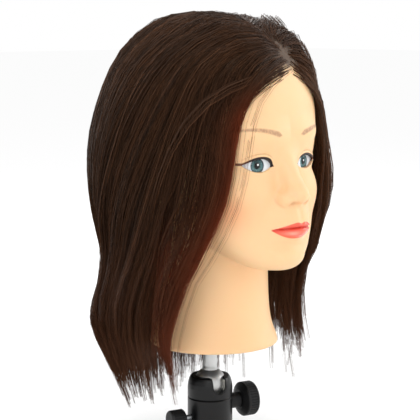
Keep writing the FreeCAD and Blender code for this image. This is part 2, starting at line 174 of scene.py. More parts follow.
def head_field(p):
    """Negative inside the head, positive outside, and near a distance at its surface."""
    x, y, z = p.T
    ax = np.abs(x)
    m = np.column_stack((ax, y, z))
    f = skull_and_jaw(p)
    f = smooth_min(f, egg(m, (27.5, -75.8, 237), (19.5, 14.8, 19)), 12)        # cheek
    f = smooth_min(f, egg(p, (0, -93, 186), (16, 10.5, 11)), 9)        # chin
    f = smooth_min(f, egg(m, (15.5, -83.8, 287), (20.5, 11.6, 9)), 12)         # brow
    f = smooth_min(f, egg(p, (0, -89.2, 215.5), (21.5, 21, 22)), 8)            # mouth
    f = smooth_min(f, egg(m, (28.2, -75.8, 262.5), (16.6, 12.4, 10.5)), 3.5)   # lids

    f = smooth_min(f, cone(p, (0, -86.5, 274), (0, -103.0, 242), 5.6, 8.2), 11)
    tip = egg(p, (0, -106.8, 237.6), (7.8, 8.7, 8.0))
    wings = egg(m, (10.0, -100.3, 233.8), (6.2, 8.0, 6.2))
    nose = smooth_min(tip, wings, 4)
    nose = smooth_max(nose, -egg(m, (6.6, -106.5, 228.2), (3.8, 5.0, 2.9)), 2.5)
    f = smooth_min(f, nose, 3.5)

    facing = smooth_step(-y, 88, 96)
    philtrum = -0.8 * np.exp(-(x / 2.8) ** 2) * smooth_step(z, 214, 218) * smooth_step(-z, -229, -224)
    under_lip = -1.2 * np.exp(-((z - 196) / 4.0) ** 2 - (x / 14) ** 2)
    s, upper, lower = eye_lines(ax)
    crease = -0.7 * np.exp(-((z - upper - 4.1) / 1.0) ** 2) * smooth_step(s, 0.02, 0.3)
    crease = crease * smooth_step(-s, -1.05, -0.8) * smooth_step(-y, 70, 78)
    f = f - (lip_relief(ax, z) + philtrum + under_lip) * facing - crease

    ring = np.hypot(x, y - NECK_CENTRE_Y)
    neck = ring - curve(NECK_RINGS, z)
    neck = smooth_max(neck, z - 230, 10)
    f = smooth_min(f, neck, 9)
    f = smooth_max(f, NECK_Z - z, 1.6)

    width = EYE_OUT - EYE_IN
    gap = np.minimum(np.minimum(upper - z, z - lower), np.minimum(s, 1 - s) * width)
    return smooth_max(f, np.minimum(gap, -68.0 - y), 0.5)


# ---------------------------------------------------------------- a surface from a field
def graded(low, high, fine_low, fine_high, fine, coarse):
    """Grid lines that are fine between two places and coarse elsewhere."""
    parts = []
    if low < fine_low:
        parts.append(np.linspace(low, fine_low, int((fine_low - low) / coarse) + 1, endpoint=False))
    parts.append(np.arange(fine_low, fine_high, fine))
    parts.append(np.linspace(fine_high, high, int((high - fine_high) / coarse) + 2))
    return np.concatenate(parts)


def surface_net(field, axes):
    """One vertex in each grid cell that the surface crosses, and quads round each crossed edge."""
    grid = np.stack(np.meshgrid(*axes, indexing="ij"), -1)
    shape = grid.shape[:3]
    flat = grid.reshape(-1, 3)
    values = np.concatenate([field(part) for part in np.array_split(flat, 24)]).reshape(shape)
    inside = values < 0
    total = np.zeros(tuple(n - 1 for n in shape) + (3,))
    count = np.zeros(total.shape[:3])
    crossings = []
    for a in range(3):
        first = [slice(None)] * 3
        second = [slice(None)] * 3
        first[a], second[a] = slice(0, -1), slice(1, None)
        first, second = tuple(first), tuple(second)
        crossed = inside[first] != inside[second]
        v0, v1 = values[first], values[second]
        t = np.where(crossed, v0 / np.where(crossed, v0 - v1, 1), 0)
        point = grid[first] + t[..., None] * (grid[second] - grid[first])
        crossings.append(crossed)
        b, c = [k for k in range(3) if k != a]
        for db in (0, 1):
            for dc in (0, 1):
                take = [slice(None)] * 3
                take[b] = slice(db, shape[b] - 1 + db)
                take[c] = slice(dc, shape[c] - 1 + dc)
                take = tuple(take)
                total += np.where(crossed[take][..., None], point[take], 0)
                count += crossed[take]
    cells = count > 0
    index = np.full(count.shape, -1)
    index[cells] = np.arange(cells.sum())
    vertices = total[cells] / count[cells][:, None]
    quads = []
    for a, crossed in enumerate(crossings):
        b, c = [(1, 2), (2, 0), (0, 1)][a]
        inner = [slice(None)] * 3
        inner[b], inner[c] = slice(1, shape[b] - 1), slice(1, shape[c] - 1)
        where = np.argwhere(crossed[tuple(inner)])
        where[:, b] += 1
        where[:, c] += 1
        corner = []
        for db, dc in ((1, 1), (0, 1), (0, 0), (1, 0)):
            cell = where.copy()
            cell[:, b] -= db
            cell[:, c] -= dc
            corner.append(index[tuple(cell.T)])
        quad = np.column_stack(corner)
        leaving = inside[tuple(where.T)]
        quad[~leaving] = quad[~leaving][:, ::-1]
        quads.append(quad)
    return vertices, np.concatenate(quads)


def mesh_object(name, vertices, faces, smooth=True):
    """A piece from millimetre vertices and same-sided faces."""
    mesh = bpy.data.meshes.new(name)
    faces = np.asarray(faces)
    sides = faces.shape[1]
    mesh.vertices.add(len(vertices))
    mesh.vertices.foreach_set("co", (np.asarray(vertices) * MM).ravel())
    mesh.loops.add(faces.size)
    mesh.loops.foreach_set("vertex_index", faces.ravel())
    mesh.polygons.add(len(faces))
    mesh.polygons.foreach_set("loop_start", np.arange(0, faces.size, sides))
    mesh.polygons.foreach_set("loop_total", np.full(len(faces), sides))
    mesh.update()
    mesh.validate()
    mesh.polygons.foreach_set("use_smooth", np.full(len(mesh.polygons), smooth))
    obj = bpy.data.objects.new(name, mesh)
    bpy.context.scene.collection.objects.link(obj)
    return obj


def store(obj, name, values):
    """A number at each vertex, for the material."""
    attribute = obj.data.attributes.new(name, "FLOAT", "POINT")
    attribute.data.foreach_set("value", np.asarray(values, np.float32))


# ---------------------------------------------------------------- material nodes
class Nodes:
    """Short calls for building a material's nodes."""

    def __init__(self, name, **settings):
        self.material = bpy.data.materials.new(name)
        self.material.use_nodes = True
        self.tree = self.material.node_tree
        self.shader = self.tree.nodes["Principled BSDF"]
        for key, value in settings.items():
            self.shader.inputs[key.replace("_", " ")].default_value = value

    def node(self, kind, **inputs):
        made = self.tree.nodes.new(kind)
        for key, value in inputs.items():
            self.put(made.inputs[key.replace("_", " ")], value)
        return made

    def put(self, socket, value):
        if isinstance(value, bpy.types.NodeSocket):
            self.tree.links.new(value, socket)
        else:
            socket.default_value = value

    def attribute(self, name):
        made = self.tree.nodes.new("ShaderNodeAttribute")
        made.attribute_name = name
        return made.outputs["Fac"]

    def place(self, scale=(1, 1, 1)):
        """Object coordinates in millimetres, stretched by scale."""
        coordinates = self.tree.nodes.new("ShaderNodeTexCoord")
        stretch = self.node("ShaderNodeVectorMath", Vector=coordinates.outputs["Object"])
        stretch.operation = "MULTIPLY"
        stretch.inputs[1].default_value = [k / MM for k in scale]
        return stretch.outputs["Vector"]

    def noise(self, scale, detail=3.0, stretch=(1, 1, 1)):
        made = self.node("ShaderNodeTexNoise", Vector=self.place(stretch), Scale=scale, Detail=detail)
        return made.outputs["Fac"]

    def ramp(self, value, low, high, out_low=0.0, out_high=1.0):
        made = self.node("ShaderNodeMapRange", Value=value)
        made.interpolation_type = "SMOOTHSTEP"
        for key, number in zip((1, 2, 3, 4), (low, high, out_low, out_high)):
            made.inputs[key].default_value = number
        return made.outputs["Result"]

    def math(self, operation, a, b=0.0):
        made = self.tree.nodes.new("ShaderNodeMath")
        made.operation = operation
        self.put(made.inputs[0], a)
        self.put(made.inputs[1], b)
        return made.outputs["Value"]

    def mix(self, amount, a, b):
        made = self.tree.nodes.new("ShaderNodeMix")
        made.data_type = "RGBA"
        self.put(made.inputs["Factor"], amount)
        self.put(made.inputs["A"], a)
        self.put(made.inputs["B"], b)
        return made.outputs["Result"]

    def bump(self, height, distance, strength=1.0):
        made = self.node("ShaderNodeBump", Height=height, Strength=strength)
        made.inputs["Distance"].default_value = distance * MM
        self.put(self.shader.inputs["Normal"], made.outputs["Normal"])

    def set(self, **inputs):
        for key, value in inputs.items():
            self.put(self.shader.inputs[key.replace("_", " ")], value)
        return self.material


def srgb(r, g, b):
    """A colour from its 0 to 255 display numbers."""
    def linear(c):
        c = c / 255
        return c / 12.92 if c <= 0.04045 else ((c + 0.055) / 1.055) ** 2.4
    return (linear(r), linear(g), linear(b), 1.0)


# ---------------------------------------------------------------- skin
# The hairline: degrees round the head from the front, and height.
HAIRLINE = np.array([
    (0, 337), (20, 334), (35, 315), (50, 290), (70, 262), (90, 238), (120, 205), (180, 186),
], float)


def turn_round(p):
    """The angle round the head from the middle of the face, positive to the left."""
    return np.arctan2(p[:, 0], -(p[:, 1] + 2))


def above_hairline(p):
    """How far a place on the head is above the edge of the hair."""
    turn = np.degrees(np.abs(turn_round(p)))
    return p[:, 2] - np.interp(turn, HAIRLINE[:, 0], HAIRLINE[:, 1])


def skin_paint(obj, p):
    """The painted places, as distances in millimetres inside each one's edge."""
    x, y, z = p.T
    ax = np.abs(x)
    front = np.where(y < -84, 0.0, -20.0)
    upper, line, lower = lip_lines(ax)
    lips = np.clip(np.minimum(upper - z, z - lower), -8, 8)
    store(obj, "lips", lips + np.where(ax > LIP_HALF, -8, 0) + front)
    store(obj, "lip_line", np.clip(np.abs(z - line), 0, 8))
    # A painted highlight on the lower lip: a lighter spot on each side of its middle.
    store(obj, "painted_lip_highlight", 0.7 * np.exp(-((ax - 8) / 5.5) ** 2 - ((z - 206.0) / 1.5) ** 2))

    s = np.clip((ax - 11.0) / 40.0, -0.2, 1.2)
    rise = np.sin(np.clip(s / 0.66, -0.2, 1) * math.pi / 2)
    middle = 285.6 + 5.4 * rise - 5.0 * np.clip(s - 0.66, 0, 1) ** 1.3
    half = 2.5 * smooth_step(s, -0.02, 0.1) * (1 - 0.72 * np.clip(s, 0, 1) ** 1.2)
    edge = np.minimum(half - np.abs(z - middle), np.minimum(s, 1.02 - s) * 40)
    store(obj, "brow", np.clip(edge, -8, 8) + np.where(y < -70, 0.0, -20.0))

    s, top, bottom = eye_lines(ax)
    over = z - top
    thick = 2.1 * smooth_step(s, -0.1, 0.1) * (1 - 0.2 * smooth_step(s, 0.5, 1.15))
    band = np.minimum(thick - over, over + 3.0)
    band = np.minimum(band, np.minimum(s + 0.045, 1.13 - s) * 28)
    band = np.where(z < bottom - 0.4, -5.0, band)
    store(obj, "liner", np.clip(band, -5, 5) + np.where(y < -66, 0.0, -20.0))
    store(obj, "liner_tail", smooth_step(s, 0.72, 1.05))
    under = bottom - z
    low_band = np.minimum(np.minimum(0.55 - under, under + 2.5), np.minimum(s - 0.35, 1.0 - s) * 28)
    store(obj, "lower_liner", np.clip(low_band, -5, 5) + np.where(y < -66, 0.0, -20.0))
    fold = 0.5 - np.abs(z - top - 4.2)
    fold = np.minimum(fold, np.minimum(s - 0.02, 1.0 - s) * 28)
    store(obj, "fold", np.clip(fold, -5, 5) + np.where(y < -66, 0.0, -20.0))
    store(obj, "scalp", np.clip(above_hairline(p), -20, 20))
    # Painted shadow in the nostrils, and painted shade in the crease round each wing of the nose.
    painted_nostril_shadow = np.exp(-((ax - 6.5) / 3.2) ** 2 - ((z - 230.4) / 1.5) ** 2)
    round_wing = np.hypot((ax - 10.5) / 6.8, (z - 233.5) / 6.6)
    painted_wing_crease_shade = np.exp(-((round_wing - 1) / 0.13) ** 2) * smooth_step(ax, 11, 14)
    painted_wing_crease_shade = 0.4 * painted_wing_crease_shade * smooth_step(-z, -238, -232)
    store(obj, "painted_nostril_shadow", np.where(y < -94, np.maximum(painted_nostril_shadow, painted_wing_crease_shade), 0))
    blush = np.exp(-((ax - 50) / 15) ** 2 - ((z - 222) / 17) ** 2) * np.where(y < -20, 1.0, 0.0)
    store(obj, "blush", blush)


def skin_material():
    n = Nodes("skin_vinyl", Roughness=0.5, Specular_IOR_Level=0.35)
    base = n.mix(n.noise(0.012, 2), srgb(238, 194, 146), srgb(242, 203, 156))
    base = n.mix(n.math("MULTIPLY", n.attribute("blush"), 0.55), base, srgb(236, 158, 112))
    # Painted shadow at the nostrils and in the nose's wing creases.
    base = n.mix(n.math("MULTIPLY", n.attribute("painted_nostril_shadow"), 0.55), base, srgb(196, 128, 84))
    strokes = n.ramp(n.noise(0.9, 2, (1, 1, 0.35)), 0.3, 0.62, 0.55, 1.0)
    brow = n.math("MULTIPLY", n.ramp(n.attribute("brow"), -0.7, 1.1), strokes)
    base = n.mix(n.math("MULTIPLY", brow, 0.72), base, srgb(150, 108, 84))
    base = n.mix(n.ramp(n.attribute("fold"), -0.35, 0.5, 0.0, 0.4), base, srgb(160, 110, 70))
    base = n.mix(n.ramp(n.attribute("lower_liner"), -0.3, 0.3, 0.0, 0.45), base, srgb(110, 75, 62))
    liner = n.mix(n.attribute("liner_tail"), srgb(34, 22, 20), srgb(104, 66, 46))
    base = n.mix(n.ramp(n.attribute("liner"), -0.25, 0.3), base, liner)
    ragged = n.math("ADD", n.attribute("scalp"), n.math("MULTIPLY", n.noise(0.5, 3, (1, 1, 0.3)), 8.0))
    base = n.mix(n.ramp(ragged, 3.0, 12.0, 0.0, 0.93), base, srgb(46, 28, 20))
    lips = n.ramp(n.attribute("lips"), -0.35, 0.35)
    lip_colour = n.mix(n.ramp(n.attribute("lip_line"), 0.0, 3.2), srgb(216, 64, 46), srgb(240, 106, 84))
    # The painted lip highlight lightens the lower lip.
    lip_colour = n.mix(n.attribute("painted_lip_highlight"), lip_colour, srgb(252, 178, 156))
    base = n.mix(lips, base, lip_colour)
    n.bump(n.noise(1.1, 4), 0.05, 0.5)
    n.put(n.shader.inputs["Subsurface Radius"], (0.006, 0.0026, 0.0014))
    gloss = n.ramp(lips, 0.0, 1.0, 0.5, 0.2)
    return n.set(Base_Color=base, Roughness=gloss, Subsurface_Weight=0.22, Subsurface_Scale=1.0)


def sculpt(field, axes, rounds=2):
    """A surface net drawn onto the field's surface."""
    vertices, quads = surface_net(field, axes)
    for _ in range(rounds):
        slope = gradient(field, vertices)
        move = (field(vertices) / np.maximum((slope ** 2).sum(1), 0.2))[:, None] * slope
        length = np.linalg.norm(move, axis=1, keepdims=True)
        vertices = vertices - move * np.minimum(1.0, 0.5 / np.maximum(length, 1e-9))
    return vertices, quads


def foam_field(p):
    """The foam fills the skin, with room for the eyes and for the tube in the neck."""
    x, y, z = p.T
    f = head_field(p) + SKIN_T
    eyes = egg(np.column_stack((np.abs(x), y, z)), (28.0, -78.0, 262.5), (19.0, 17.0, 19.0))
    f = smooth_max(f, -eyes, 2)
    bore = np.maximum(np.hypot(x, y) - TUBE_ROOM, z - TUBE_TOP)
    return np.maximum(np.maximum(f, -bore), NECK_Z + 5.5 - z)


def make_foam(material):
    axes = (np.arange(-80.0, 84, 5), np.arange(-120.0, 98, 5), np.arange(96.0, 386, 5))
    vertices, quads = sculpt(foam_field, axes, 1)
    foam = mesh_object("moulded_foam", vertices, quads)
    foam.data.materials.append(material)
    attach(foam, HEAD)
    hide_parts("foam_core")


def make_skin():
    fine, wide = ((0.95, 2.4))
    axes = (
        graded(-80, 80, -46, 46, fine, wide),
        graded(-121, 96, -119, -74, fine, wide),
        graded(96, 382, 197, 300, fine, wide),
    )
    vertices, quads = sculpt(head_field, axes)
    skin = mesh_object("painted_skin", vertices, quads)
    skin_paint(skin, vertices)
    skin.data.materials.append(skin_material())
    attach(skin, HEAD)
    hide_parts("head_skin")


# ---------------------------------------------------------------- eyes
EYE_SPLAY = math.radians(15)
EYE_X, EYE_Y, EYE_Z = 27.6, -86.4, 261.0
EYE_DOME_R, EYE_DISC_R, EYE_T, IRIS_R = 60.0, 17.4, 10.0, 6.4
IRIS_SINK, IRIS_T, CORNEA_RISE = 0.7, 0.3, 1.0
SIDE_NAMES = {-1: "right", 1: "left"}
# The catch-light is a painted highlight on the iris, made to glow through the material's emission.
GLINT = (0.9, 0.9)      # the catch-light's place, across and up from the pupil's middle


def eye_frame(side):
    """An eye's middle of its front, and the directions across, up and out of it."""
    out = np.array((side * math.sin(EYE_SPLAY), -math.cos(EYE_SPLAY), 0.0))
    up = np.array((0.0, 0.0, 1.0))
    across = np.cross(up, out)
    return np.array((side * EYE_X, EYE_Y, EYE_Z)), across, up, out


def turned(name, side, profile, material, node, segments=72):
    """A closed piece turned about an eye's axis from (radius, depth) points, both ends on the axis."""
    middle, across, up, out = eye_frame(side)
    turn = np.linspace(0, 2 * math.pi, segments, endpoint=False)
    vertices = []
    for r, depth in profile:
        ring = middle + r * (np.cos(turn)[:, None] * across + np.sin(turn)[:, None] * up)
        vertices.append(ring + depth * out)
    faces = []
    for i in range(len(profile) - 1):
        for j in range(segments):
            k = (j + 1) % segments
            a, b, c, d = i * segments + j, i * segments + k, (i + 1) * segments + k, (i + 1) * segments + j
            faces += [(a, b, c), (a, c, d)]
    obj = mesh_object(name, np.concatenate(vertices), faces)
    store(obj, "radius", np.repeat([r for r, _ in profile], segments))
    obj.data.materials.append(material)
    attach(obj, HEAD)
    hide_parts(node)


def dome(r):
    """How far the eye's front falls away at a radius."""
    return math.sqrt(EYE_DOME_R ** 2 - r ** 2) - EYE_DOME_R


def eye_place(n, side):
    """A point's distance across and up from the middle of an eye's front, in millimetres."""
    middle, across, up, _ = eye_frame(side)
    from_middle = n.node("ShaderNodeVectorMath", Vector=n.place())
    from_middle.operation = "SUBTRACT"
    from_middle.inputs[1].default_value = list(middle)
    places = []
    for axis in (across, up):
        dot = n.node("ShaderNodeVectorMath", Vector=from_middle.outputs["Vector"])
        dot.operation = "DOT_PRODUCT"
        dot.inputs[1].default_value = list(axis)
        places.append(dot.outputs["Value"])
    return places


def white_material():
    n = Nodes("eye_white", Roughness=0.22, Specular_IOR_Level=0.5)
    # The white turns from a bluish white near the iris to a greyer white towards its rim.
    grey_towards_rim = n.ramp(n.attribute("radius"), 6.0, 14.0)
    return n.set(Base_Color=n.mix(grey_towards_rim, srgb(232, 238, 242), srgb(206, 206, 208)))


def iris_material(side):
    n = Nodes("iris_" + SIDE_NAMES[side], Roughness=0.35)
    u, v = eye_place(n, side)
    radius = n.math("SQRT", n.math("ADD", n.math("MULTIPLY", u, u), n.math("MULTIPLY", v, v)))
    turn = n.math("ARCTAN2", v, u)
    flat = n.tree.nodes.new("ShaderNodeCombineXYZ")
    n.put(flat.inputs[0], n.math("MULTIPLY", turn, 9.0))
    n.put(flat.inputs[1], n.math("MULTIPLY", radius, 0.35))
    fibres = n.node("ShaderNodeTexNoise", Vector=flat.outputs[0], Scale=1.6, Detail=2.0).outputs["Fac"]
    colour = n.mix(n.ramp(fibres, 0.3, 0.7), srgb(62, 116, 124), srgb(128, 172, 172))
    colour = n.mix(n.ramp(radius, 2.6, 4.2, 0.55, 0.0), colour, srgb(60, 92, 84))
    colour = n.mix(n.ramp(radius, 4.7, 6.0), colour, srgb(32, 58, 70))
    colour = n.mix(n.ramp(radius, 2.35, 2.75, 1.0, 0.0), colour, srgb(10, 10, 12))
    # A painted catch-light highlight: a white dot that glows as emission.
    du, dv = n.math("SUBTRACT", u, GLINT[0]), n.math("SUBTRACT", v, GLINT[1])
    away = n.math("SQRT", n.math("ADD", n.math("MULTIPLY", du, du), n.math("MULTIPLY", dv, dv)))
    glowing_painted_glint = n.mix(n.ramp(away, 0.75, 1.05), (1, 1, 1, 1), (0, 0, 0, 1))
    return n.set(Base_Color=colour, Emission_Color=glowing_painted_glint, Emission_Strength=1.0)


def make_eyes():
    white = white_material()
    clear = Nodes("cornea", Roughness=0.03, Alpha=0.06, Specular_IOR_Level=1.0)
    clear = clear.set(Base_Color=(0.2, 0.2, 0.2, 1))
    for side, word in SIDE_NAMES.items():
        radii = np.linspace(IRIS_R, EYE_DISC_R, 22)
        sclera = [(0.0, -EYE_T), (EYE_DISC_R, -EYE_T)] + [(r, dome(r)) for r in radii[::-1]]
        wall = dome(IRIS_R) - IRIS_SINK
        sclera += [(IRIS_R - 0.02, wall - IRIS_T - 0.05), (0.0, wall - IRIS_T - 0.05)]
        turned("sclera_" + word, side, sclera, white, "eye_white_" + word)
        back = wall - IRIS_T
        disc = [(0.0, back), (IRIS_R - 0.1, back), (IRIS_R - 0.1, wall), (0.0, wall)]
        turned("printed_iris_" + word, side, disc, iris_material(side), "eye_iris_" + word)
        rise = [(r, dome(r) + CORNEA_RISE * (1 - (r / IRIS_R) ** 2)) for r in np.linspace(IRIS_R, 0, 16)]
        lens = [(0.0, wall + 0.05), (IRIS_R - 0.05, wall + 0.05)] + rise
        turned("clear_dome_" + word, side, lens, clear, "eye_cornea_" + word)


# ---------------------------------------------------------------- hair
# The hair's outside: height, half width and front y on the right, the same on the left, back y.
HAIR_RINGS = np.array([
    (20, 58, -30, 108, -60, 70), (52, 68, -40, 107, -68, 80), (100, 88, -58, 101, -74, 101),
    (150, 109, -78, 79, -80, 119), (200, 108, -88, 87, -92, 119), (255, 99, -97, 102, -98, 113),
    (300, 92, -97, 82, -94, 105), (332, 81, -92, 75, -91, 91), (357, 67, -82, 71, -84, 76),
    (374, 49, -66, 58, -69, 58), (384, 31, -46, 42, -49, 40), (389, 12, -20, 18, -22, 18),
], float)
# Where hair may come forward to, beside the face: height and x, on the right and on the left.
RIGHT_EDGE = np.array([
    (40, -90), (90, -88), (130, -82), (160, -79), (191, -72), (225, -60),
    (254, -52.5), (280, -51), (300, -49), (320, -42), (335, -27), (345, -8),
], float)
LEFT_EDGE = np.array([
    (40, 92), (90, 84), (120, 75), (150, 71), (200, 74), (250, 72),
    (290, 61), (305, 53), (326, 38), (341, 16), (350, 12),
], float)
PART_FRONT, PART_BACK = np.array((15.0, -88.0)), np.array((10.0, 10.0))
# Where the ends are cut: degrees round from the face, and height.
CUT_LINE = np.array([
    (-180, 76), (-135, 80), (-90, 90), (-65, 104), (0, 110), (55, 104),
    (75, 114), (95, 126), (115, 104), (130, 84), (145, 76), (180, 76),
], float)
LOWEST_TIP = 46.0
GUIDES, CHILDREN, LOCK_R = 1700, 11, 4.2
BRIGHT_SHARE = 0.06
# The few loose locks that hang in front of the hair's edge: their share, their radius, their layer.
LOOSE_SHARE, LOOSE_R, LOOSE_LAYER = 0.013, 9.0, 0.6
STRAND_POINTS = 15
STEP, STEPS = 7.0, 62

# The pieces of hair, in order round the head from behind its right, and the nodes each replaces.
HAIR_PARTS = {
    "back_right": ("hair_back_right_lengths",),
    "right_rear": ("hair_right",),
    "right": ("hair_right_lengths",),
    "front_right": ("hair_top",),
    "front_left": ("hair_left",),
    "left": ("hair_left_lengths",),
    "left_rear": ("hair_back",),
    "back_left": ("hair_back_left_lengths",),
}


def hair_outside(p):
    """Negative inside the hair's outline."""
    x, y, z = p.T
    half_right, front_right, half_left, front_left, back = (curve(HAIR_RINGS, z, k) for k in range(1, 6))
    left = smooth_step(x, -25, 25)
    half = half_right + (half_left - half_right) * left
    front = front_right + (front_left - front_right) * left
    middle, depth = (front + back) / 2, (back - front) / 2
    square = 2.2 + 0.4 * left
    r = ((np.abs(x) / half) ** square + (np.abs(y - middle) / depth) ** square) ** (1 / square)
    return np.maximum((r - 1) * np.minimum(half, depth), z - 389.0)


def scalp_field(p):
    """The head without its features, and a neck with no end, for hair to lie against."""
    x, y, z = p.T
    neck = smooth_max(np.hypot(x, y - NECK_CENTRE_Y) - 47.5, z - 230, 10)
    return smooth_min(skull_and_jaw(p), neck, 10)


def from_part(p):
    """The level direction from the nearest place on the part, and the distance from it."""
    line = PART_BACK - PART_FRONT
    t = np.clip((p[:, :2] - PART_FRONT) @ line / (line @ line), 0, 1)
    away = p[:, :2] - PART_FRONT - t[:, None] * line
    return unit(away), np.linalg.norm(away, axis=1)


def scalp_roots(rng, count):
    """Places on the scalp above the hairline, closest together along the part."""
    centre = np.array((0.0, -2.0, 280.0))
    aim = unit(rng.normal(size=(count * 20, 3)))
    near, far = np.zeros(len(aim)), np.full(len(aim), 160.0)
    for _ in range(22):
        half = (near + far) / 2
        outside = scalp_field(centre + aim * half[:, None]) > 0
        near, far = np.where(outside, near, half), np.where(outside, half, far)
    p = centre + aim * far[:, None]
    above = above_hairline(p)
    keep = above > rng.uniform(0, 3, len(p))
    near_part = np.exp(-(from_part(p)[1] / 15) ** 2) * (p[:, 2] > 320)
    weight = np.linalg.norm(p - centre, axis=1) ** 2 * (1 + 2.5 * near_part)
    keep &= rng.uniform(0, weight.max(), len(p)) < weight
    return p[keep][:count], above[keep][:count]


def comb_direction(p, normal):
    """Hair on top is combed away from the part and back; hair on the sides hangs, swept back."""
    away, distance = from_part(p)
    away = away * smooth_step(distance, 0, 6)[:, None]
    flat = np.column_stack((away[:, 0], away[:, 1] + 0.32, np.zeros(len(p))))
    on_top = smooth_step(normal[:, 2], 0.25, 0.9)[:, None]
    on_right = smooth_step(-p[:, 0], -20, 30) * smooth_step(-p[:, 1], -70, 0)
    sweep = 0.1 + 0.1 * smooth_step(p[:, 2], 150, 220)
    sweep += 0.3 * smooth_step(p[:, 1], -70, -20) * smooth_step(p[:, 2], 150, 230)
    hanging = np.column_stack((np.zeros(len(p)), sweep * on_right, -np.ones(len(p))))
    return unit(flat) * on_top + hanging * (1.05 - on_top)


def keep_off_face(p, slack):
    """Hair beside the face stays outside its front edge."""
    z = p[:, 2]
    right = curve(RIGHT_EDGE, z) - slack
    left = curve(LEFT_EDGE, z) + slack * (1 - 0.7 * smooth_step(z, 215, 285))
    ahead = smooth_step(-p[:, 1], 22, 45) * (z < 345)
    seam = np.interp(z, (200, 345), (0.0, 15.0))
    to_right = np.minimum(p[:, 0], right)
    to_left = np.maximum(p[:, 0], left)
    wanted = np.where(p[:, 0] < seam, to_right, to_left)
    moved = p.copy()
    moved[:, 0] += (wanted - p[:, 0]) * ahead * 0.7
    return moved


def grow(roots, layer, slack, wander, rng):
    """Marches strands from their roots along the head, out to their layer, and down past their ends."""
    p = roots.copy()
    normal = unit(gradient(scalp_field, p))
    heading = unit(comb_direction(p, normal) + 0.35 * normal)
    path = [p]
    bend = rng.normal(size=(len(p), 2)) * wander[:, None]
    for step in range(STEPS):
        f = scalp_field(p)
        normal = unit(gradient(scalp_field, p))
        out = hair_outside(p)
        depth = f / np.maximum(f - out, 1.0)
        flow = comb_direction(p, normal)
        flow = unit(flow - normal * (flow * normal).sum(1, keepdims=True))
        side = np.cross(normal, flow)
        swing = np.sin(step * 0.25 + bend[:, 1] * 9)[:, None] * bend[:, :1]
        risen = layer * smooth_step(np.full(len(p), step * STEP), -30, 38)
        lift = np.clip((risen - depth) * 1.5, -0.6, 0.8)
        heading = unit(0.5 * heading + 0.5 * (flow + lift[:, None] * normal + swing * side))
        p = p + heading * STEP
        past = np.maximum(hair_outside(p), 0)
        p = p - unit(gradient(hair_outside, p)) * np.minimum(past, STEP)[:, None]
        p = keep_off_face(p, slack)
        deep = np.maximum(0.8 - scalp_field(p), 0)
        p = p + normal * deep[:, None]
        path.append(p)
    path = np.stack(path, 1)
    for _ in range(4):
        path[:, 1:-1] = (path[:, :-2] + 2 * path[:, 1:-1] + path[:, 2:]) / 4
    return path


def cut_heights(path, layer, rng):
    """Where each strand ends: along the cut line, with thin tips below it, and outer strands higher."""
    low = np.array([line[np.argmax(line[:, 2] < 130)] for line in path])
    turn = np.degrees(turn_round(low))
    level = np.interp(turn, CUT_LINE[:, 0], CUT_LINE[:, 1])
    uneven = rng.normal(3, 5, len(path)) - rng.exponential(11, len(path))
    return np.maximum(level + 26 * smooth_step(layer, 0.65, 1.0) + uneven, LOWEST_TIP)


def cut_and_space(path, end):
    """Each path cut at its end height, with points that are closest together near the root."""
    made = np.empty((len(path), STRAND_POINTS, 3))
    for i, line in enumerate(path):
        below = np.nonzero(line[:, 2] < end[i])[0]
        last = below[0] + 1 if len(below) else len(line)
        line = line[:max(last, 3)]
        gone = np.concatenate(([0], np.cumsum(np.linalg.norm(np.diff(line, axis=0), axis=1))))
        at = np.linspace(0, 1, STRAND_POINTS) ** 1.15 * gone[-1]
        for k in range(3):
            made[i, :, k] = np.interp(at, gone, line[:, k])
    return made


def tubes(name, lines, radius, shade, edge_glow):
    """Thin three-sided tapering tubes along lines, as one mesh."""
    count, points = lines.shape[:2]
    ahead = unit(np.gradient(lines, axis=1))
    side = unit(np.cross(ahead, np.array((0.31, 0.52, 0.8))))
    other = np.cross(ahead, side)
    along = np.linspace(0, 1, points)
    thick = radius[:, None] * (1 - 0.7 * along ** 3)[None]
    rings = []
    for k in range(3):
        a = 2 * math.pi * k / 3
        rings.append(lines + (math.cos(a) * side + math.sin(a) * other) * thick[..., None])
    vertices = np.stack(rings, 2).reshape(-1, 3)
    base = (np.arange(count)[:, None] * points + np.arange(points - 1)[None]) * 3
    faces = []
    for k in range(3):
        j = (k + 1) % 3
        faces.append(np.stack((base + k, base + j, base + j + 3, base + k + 3), -1).reshape(-1, 4))
    obj = mesh_object(name, vertices, np.concatenate(faces))
    store(obj, "shade", np.repeat(shade, points * 3))
    store(obj, "edge_glow", np.repeat(edge_glow.ravel(), 3))
    store(obj, "along", np.tile(np.repeat(along, 3), count))
    layer = obj.data.uv_layers.new(name="OFBake")
    corner = np.empty(len(obj.data.loops), np.int64)
    obj.data.loops.foreach_get("vertex_index", corner)
    strand = corner // (points * 3)
    place = (corner // 3) % points
    uv = np.column_stack(((strand + 0.5) / count, (place + 0.5) / points))
    layer.data.foreach_set("uv", uv.astype(np.float32).ravel())
    return obj


def hair_material():
    n = Nodes("hair", Roughness=0.42, Specular_IOR_Level=0.25)
    # The shade attribute holds each hair's own tone together with the painted light on the head's left
    # side.
    colour = n.mix(n.attribute("shade"), srgb(14, 8, 5), srgb(120, 80, 55))
    # A painted red glow on the hair along its front edge beside the right cheek.
    colour = n.mix(n.math("MULTIPLY", n.attribute("edge_glow"), 0.75), colour, srgb(128, 52, 26))
    n.put(n.shader.inputs["Specular Tint"], (1.0, 0.62, 0.42, 1.0))
    tip = n.ramp(n.attribute("along"), 0.6, 1.0, 0.0, 0.4)
    colour = n.mix(tip, colour, srgb(90, 52, 34))
    return n.set(Base_Color=colour)


def painted_edge_glow(lines):
    """How near each point is to the front edge beside the right cheek, where a red glow is painted into
    the hair's colour.
    """
    x, y, z = np.moveaxis(lines, -1, 0)
    inside = curve(RIGHT_EDGE, z) - x
    in_front = smooth_step(-y, 5, 35) * smooth_step(-z, -335, -290) * (x < 0)
    return np.exp(-np.maximum(inside, 0) / 6.0) * in_front


